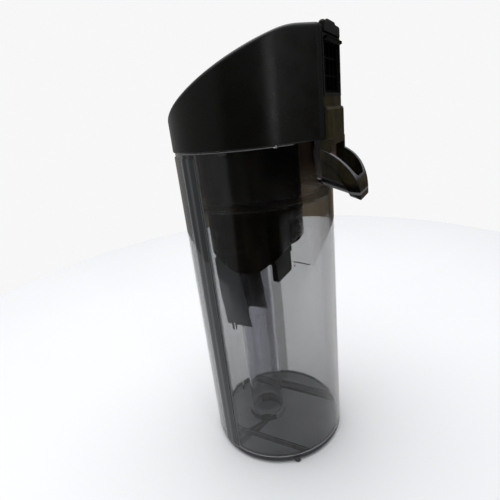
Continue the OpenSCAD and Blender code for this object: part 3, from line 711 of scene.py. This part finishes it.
def tank_plastic(name):
    """Smoky see-through wall with its moulded full-level mark, and the painted shade and
    painted highlights laid into it.
    """
    material, nodes, shader = start_material(name)
    x, y, z = nodes.place()
    side = nodes.math("ABSOLUTE", x)
    radius = nodes.length(x, y)
    upward = nodes.step(nodes.facing()[2], UPWARD_FROM, UPWARD_TO)
    # Painted shade in the grip panel's edge bands, with a painted highlight line, fainter on
    # the far side
    painted_panel, painted_panel_closed = painted_grip_panel(nodes, x, y)
    far_side = nodes.math("LESS_THAN", x, 0.0)
    painted_panel_strength = nodes.math("MULTIPLY_ADD", far_side, PANEL_SHADE_FAR - 1.0, 1.0)
    colour = nodes.mix(painted_panel_strength, nodes.tones(WALL_STREAKS, *WALL_TONES), painted_panel, "MULTIPLY")
    # Painted shade on the upper rear neck, below the cover
    neck_shade = nodes.product(
        nodes.step(z, NECK_LOW, NECK_HIGH), nodes.step(y, NECK_FROM, NECK_TO)
    )
    colour = nodes.mix(neck_shade, colour, NECK_SHADE)
    floor = nodes.product(
        nodes.math("LESS_THAN", z, HAZE_HEIGHT), nodes.math("LESS_THAN", radius, HAZE_RADIUS)
    )
    solid = nodes.greatest(nodes.product(painted_panel_closed, painted_panel_strength), nodes.product(floor, HAZE_CLOSED))
    pouring = nodes.math("GREATER_THAN", y, SPOUT_FROM)
    # Painted highlight along the top of the wall, short of the rear
    rim_highlight = nodes.product(
        nodes.math("GREATER_THAN", z, RIM_HEIGHT), nodes.math("LESS_THAN", y, RIM_END)
    )
    layers = (
        (level_mark(nodes, x, y, z, radius), INK_AND_SHADE, 1.0),
        (pouring, painted_spout_tone(nodes, y, z, upward), SPOUT_CLOSED),
        (rim_highlight, RIM_HIGHLIGHT, RIM_HIGHLIGHT_CLOSED),
        *floor_painted_layers(nodes, side, z, radius, floor),
    )
    for share, tone, closed in layers:
        colour = nodes.mix(share, colour, tone)
        solid = nodes.greatest(solid, nodes.product(share, closed))
    nodes.fill(shader, {
        "Base Color": colour,
        "Transmission Weight": nodes.remainder(solid),
        "IOR": WALL_IOR,
        "Specular IOR Level": WALL_SPECULAR,
        "Roughness": nodes.spread(FILM, *WALL_ROUGHNESS),
        "Normal": nodes.bump(WALL_WAVES, WAVE_STRENGTH, WAVE_DEPTH),
    })
    smoke = nodes.add(
        "ShaderNodeVolumeAbsorption", {"Color": WALL_SMOKE, "Density": WALL_DENSITY}
    )
    nodes.fill(nodes.tree.nodes["Material Output"], {"Volume": smoke.outputs["Volume"]})
    return material


def lid_plastic(name):
    """See-through lid moulding: smoky grey inside the tank, and painted olive brown in the rear
    block for the smoky plastic lit from behind.
    """
    material, nodes, shader = start_material(name)
    _, y, _ = nodes.place()
    # Rear block painted olive brown, the look of the smoky plastic lit from behind
    rear = nodes.remap(y, BLOCK_FROM, BLOCK_TO)
    smoky = nodes.tones(LID_STREAKS, *LID_TONES)
    backlit_olive = nodes.tones(BLOCK_CLOUD, *BLOCK_BACKLIT_TONES)
    closed = nodes.greatest(
        nodes.product(rear, BLOCK_CLOSED), nodes.spread(LID_CLOUD, 0.0, LID_HAZE)
    )
    nodes.fill(shader, {
        "Base Color": nodes.mix(rear, smoky, backlit_olive),
        "Transmission Weight": nodes.remainder(closed),
        "IOR": LID_IOR,
        "Roughness": nodes.spread(FILM, *LID_ROUGHNESS),
    })
    return material


def hood_plastic(name):
    """Dark smoky hood that thins out to grey at the low rear corner."""
    material, nodes, shader = start_material(name)
    _, y, z = nodes.place()
    rear = nodes.step(y, HOOD_REAR_FROM, HOOD_REAR_TO)
    low = nodes.step(z, HOOD_LOW_FROM, HOOD_LOW_TO)
    thin = nodes.product(rear, low)
    dark = nodes.tones(HOOD_CLOUD, *HOOD_DARK)
    grey = nodes.tones(HOOD_STREAKS, *HOOD_GREY)
    nodes.fill(shader, {
        "Base Color": nodes.mix(thin, dark, grey),
        "Transmission Weight": nodes.product(thin, HOOD_CLEAR),
        "IOR": HOOD_IOR,
        "Roughness": nodes.spread(WEAR, *HOOD_ROUGHNESS),
    })
    return material


def satin_material(name, dark, light, roughness, grain, gloss, metal):
    """Opaque material with clouds, wear and a fine grain."""
    material, nodes, shader = start_material(name)
    nodes.fill(shader, {
        "Base Color": nodes.tones(SATIN_CLOUD, dark, light),
        "Metallic": metal,
        "Specular IOR Level": gloss,
        "Roughness": nodes.spread(WEAR, roughness - WEAR_UNDER, roughness + WEAR_OVER),
    })
    if grain:
        nodes.fill(shader, {"Normal": nodes.bump(GRAIN, grain, GRAIN_DEPTH)})
    return material


def cover_plastic(name):
    """Black satin cover, duller on its flat rear and on the upright wall of its far rear."""
    material = satin_material(name, *COVER_LOOK)
    nodes = Nodes(material.node_tree)
    shader = material.node_tree.nodes["Principled BSDF"]
    x, y, _ = nodes.place()
    far = nodes.product(
        nodes.step(y, FAR_DULL_FROM, FAR_DULL_TO),
        nodes.math("LESS_THAN", x, 0.0),
        nodes.step(nodes.facing()[2], TILT_FROM, TILT_TO),
    )
    dull = nodes.greatest(nodes.step(y, REAR_DULL_FROM, REAR_DULL_TO), far)
    wear = shader.inputs["Roughness"].links[0].from_socket
    rough = nodes.math("MULTIPLY_ADD", dull, DULL_ROUGHNESS, wear)
    nodes.fill(shader, {"Roughness": rough})
    return material


def make_materials():
    """All materials by the names of their slots, and the clear rubber of the lid's gasket."""
    materials = {
        "smoky_clear": tank_plastic("smoky_clear"),
        "smoky_tube": clear_plastic(
            "smoky_tube", TUBE_TONES, TUBE_ROUGHNESS, TUBE_IOR, TUBE_FOOT
        ),
        "smoky_amber": lid_plastic("smoky_amber"),
        "hood_dark": hood_plastic("hood_dark"),
        "cover_black": cover_plastic("cover_black"),
        "clear_rubber": clear_plastic(
            "clear_rubber", GASKET_TONES, GASKET_ROUGHNESS, GASKET_IOR
        ),
    }
    for name, *look in SATIN_LOOKS:
        materials[name] = satin_material(name, *look)
    return materials


def dress_nodes(materials):
    """Give each of the part's nodes the material of its slot."""
    for part in frame["record"]["subparts"]:
        node = frame["nodes"][part["node"]]
        node.data.materials.clear()
        node.data.materials.append(materials[part["material_slot"]])
    frame["nodes"]["lid_gasket"].data.materials[0] = materials["clear_rubber"]
    frame["nodes"]["filter_screen"].data.materials[0] = materials["filter_black"]


def make_floor():
    """Round paper floor, pale to look at, and dim at its near end in what the tank mirrors."""
    mesh = bpy.data.meshes.new("floor")
    work = bmesh.new()
    bmesh.ops.create_circle(work, cap_ends=True, radius=FLOOR_RADIUS, segments=FLOOR_CORNERS)
    work.to_mesh(mesh)
    work.free()
    floor = bpy.data.objects.new("floor", mesh)
    floor.location = FLOOR_CENTRE
    bpy.context.scene.collection.objects.link(floor)
    material, nodes, shader = start_material("floor_paper")
    x, y, _ = nodes.place()
    path = nodes.add("ShaderNodeLightPath")
    fade = nodes.product(
        nodes.towards(x, y, NEAR_ALONG, FADE_FROM, FADE_TO),
        nodes.remainder(path.outputs["Is Camera Ray"]),
    )
    paper = nodes.tones(PAPER_CLOUD, *FLOOR_TONES)
    nodes.fill(shader, {
        "Base Color": nodes.mix(fade, paper, FADE_SHADE),
        "Roughness": FLOOR_ROUGHNESS,
    })
    floor.data.materials.append(material)


def make_world():
    """A pale backdrop, and a soft room: light overhead and on one side, dim in front."""
    world = bpy.data.worlds.new("studio")
    bpy.context.scene.world = world
    world.use_nodes = True
    world.node_tree.nodes.clear()
    nodes = Nodes(world.node_tree)
    direction = nodes.add("ShaderNodeTexCoord").outputs["Generated"]
    x, y, z = nodes.split(direction)
    near = nodes.towards(x, y, NEAR_ALONG, NEAR_FROM, NEAR_TO)
    side = nodes.towards(x, y, SIDE_ALONG, SIDE_FROM, SIDE_TO)
    high = nodes.step(z, HIGH_FROM, HIGH_TO)
    colour = nodes.mix(near, ROOM_FAR, ROOM_NEAR)
    colour = nodes.mix(side, colour, ROOM_SIDE)
    colour = nodes.mix(high, colour, ROOM_HIGH)
    room = nodes.add("ShaderNodeBackground", {"Color": colour})
    backdrop = nodes.add("ShaderNodeBackground", {"Color": BACKDROP_TONE})
    path = nodes.add("ShaderNodeLightPath")
    seen = nodes.add("ShaderNodeMixShader", {"Fac": path.outputs["Is Camera Ray"]})
    nodes.plug(seen.inputs[1], room.outputs["Background"])
    nodes.plug(seen.inputs[2], backdrop.outputs["Background"])
    nodes.add("ShaderNodeOutputWorld", {"Surface": seen.outputs["Shader"]})


def make_light(name, place, target, width, height, power):
    """Rectangular light at a place, aimed at its target."""
    data = bpy.data.lights.new(name, "AREA")
    data.shape = "RECTANGLE"
    data.size = width
    data.size_y = height
    data.energy = power
    light = bpy.data.objects.new(name, data)
    light.location = place
    aim = Vector(target) - Vector(place)
    light.rotation_euler = aim.to_track_quat("-Z", "Y").to_euler()
    bpy.context.scene.collection.objects.link(light)


materials = make_materials()
dress_nodes(materials)
make_camera()
make_cover(materials["cover_black"])
make_baffle(materials["inner_black"])
make_floor()
make_world()
for light in LIGHTS:
    make_light(*light)

scene = bpy.context.scene
scene.view_settings.view_transform = "Standard"
scene.cycles.max_bounces = MOST_BOUNCES
scene.cycles.transmission_bounces = MOST_BOUNCES
